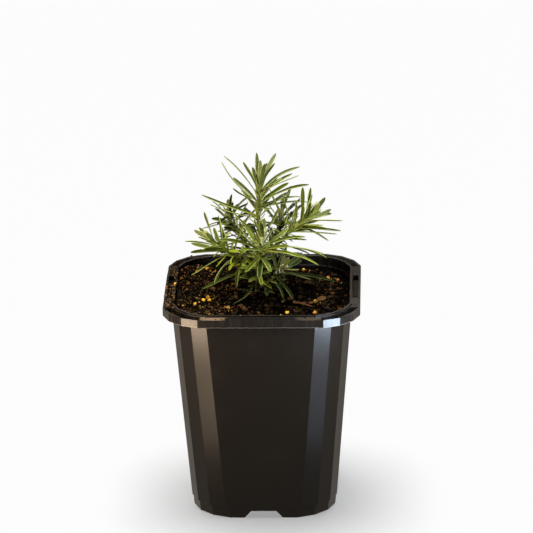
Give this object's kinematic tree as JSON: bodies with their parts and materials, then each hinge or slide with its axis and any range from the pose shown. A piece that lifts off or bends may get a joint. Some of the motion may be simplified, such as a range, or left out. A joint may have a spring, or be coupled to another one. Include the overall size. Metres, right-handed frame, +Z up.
{
  "type": "potted curry plant",
  "caption": "Young silvery-green herb with narrow leaves on several branching shoots, rooted in dark bark mix in a square black facetted nursery pot.",
  "frame": {"origin": "centre of the pot's foot, on the surface it stands on", "axes": "+Z up along the pot's axis; the pictured side faces -Y"},
  "size_m": [0.1, 0.1, 0.1833],
  "materials": {
    "pot": "satin",
    "mix": "rough",
    "leaf": "matte",
    "prill": "gloss",
    "twig": "rough"
  },
  "bodies": {
    "root": {"pot": "pot", "potting_mix": "mix", "leading_shoot": "leaf", "right_shoot": "leaf", "left_shoot": "leaf", "front_shoot": "leaf", "back_left_shoot": "leaf", "back_right_shoot": "leaf", "low_right_shoot": "leaf", "fertiliser_prill_1": "prill", "fertiliser_prill_2": "prill", "fertiliser_prill_3": "prill", "fertiliser_prill_4": "prill", "fertiliser_prill_5": "prill", "fertiliser_prill_6": "prill", "fertiliser_prill_7": "prill", "fertiliser_prill_8": "prill", "fertiliser_prill_9": "prill", "fertiliser_prill_10": "prill", "fertiliser_prill_11": "prill", "fertiliser_prill_12": "prill", "fertiliser_prill_13": "prill", "fertiliser_prill_14": "prill", "twig": "twig"}
  },
  "joints": []
}
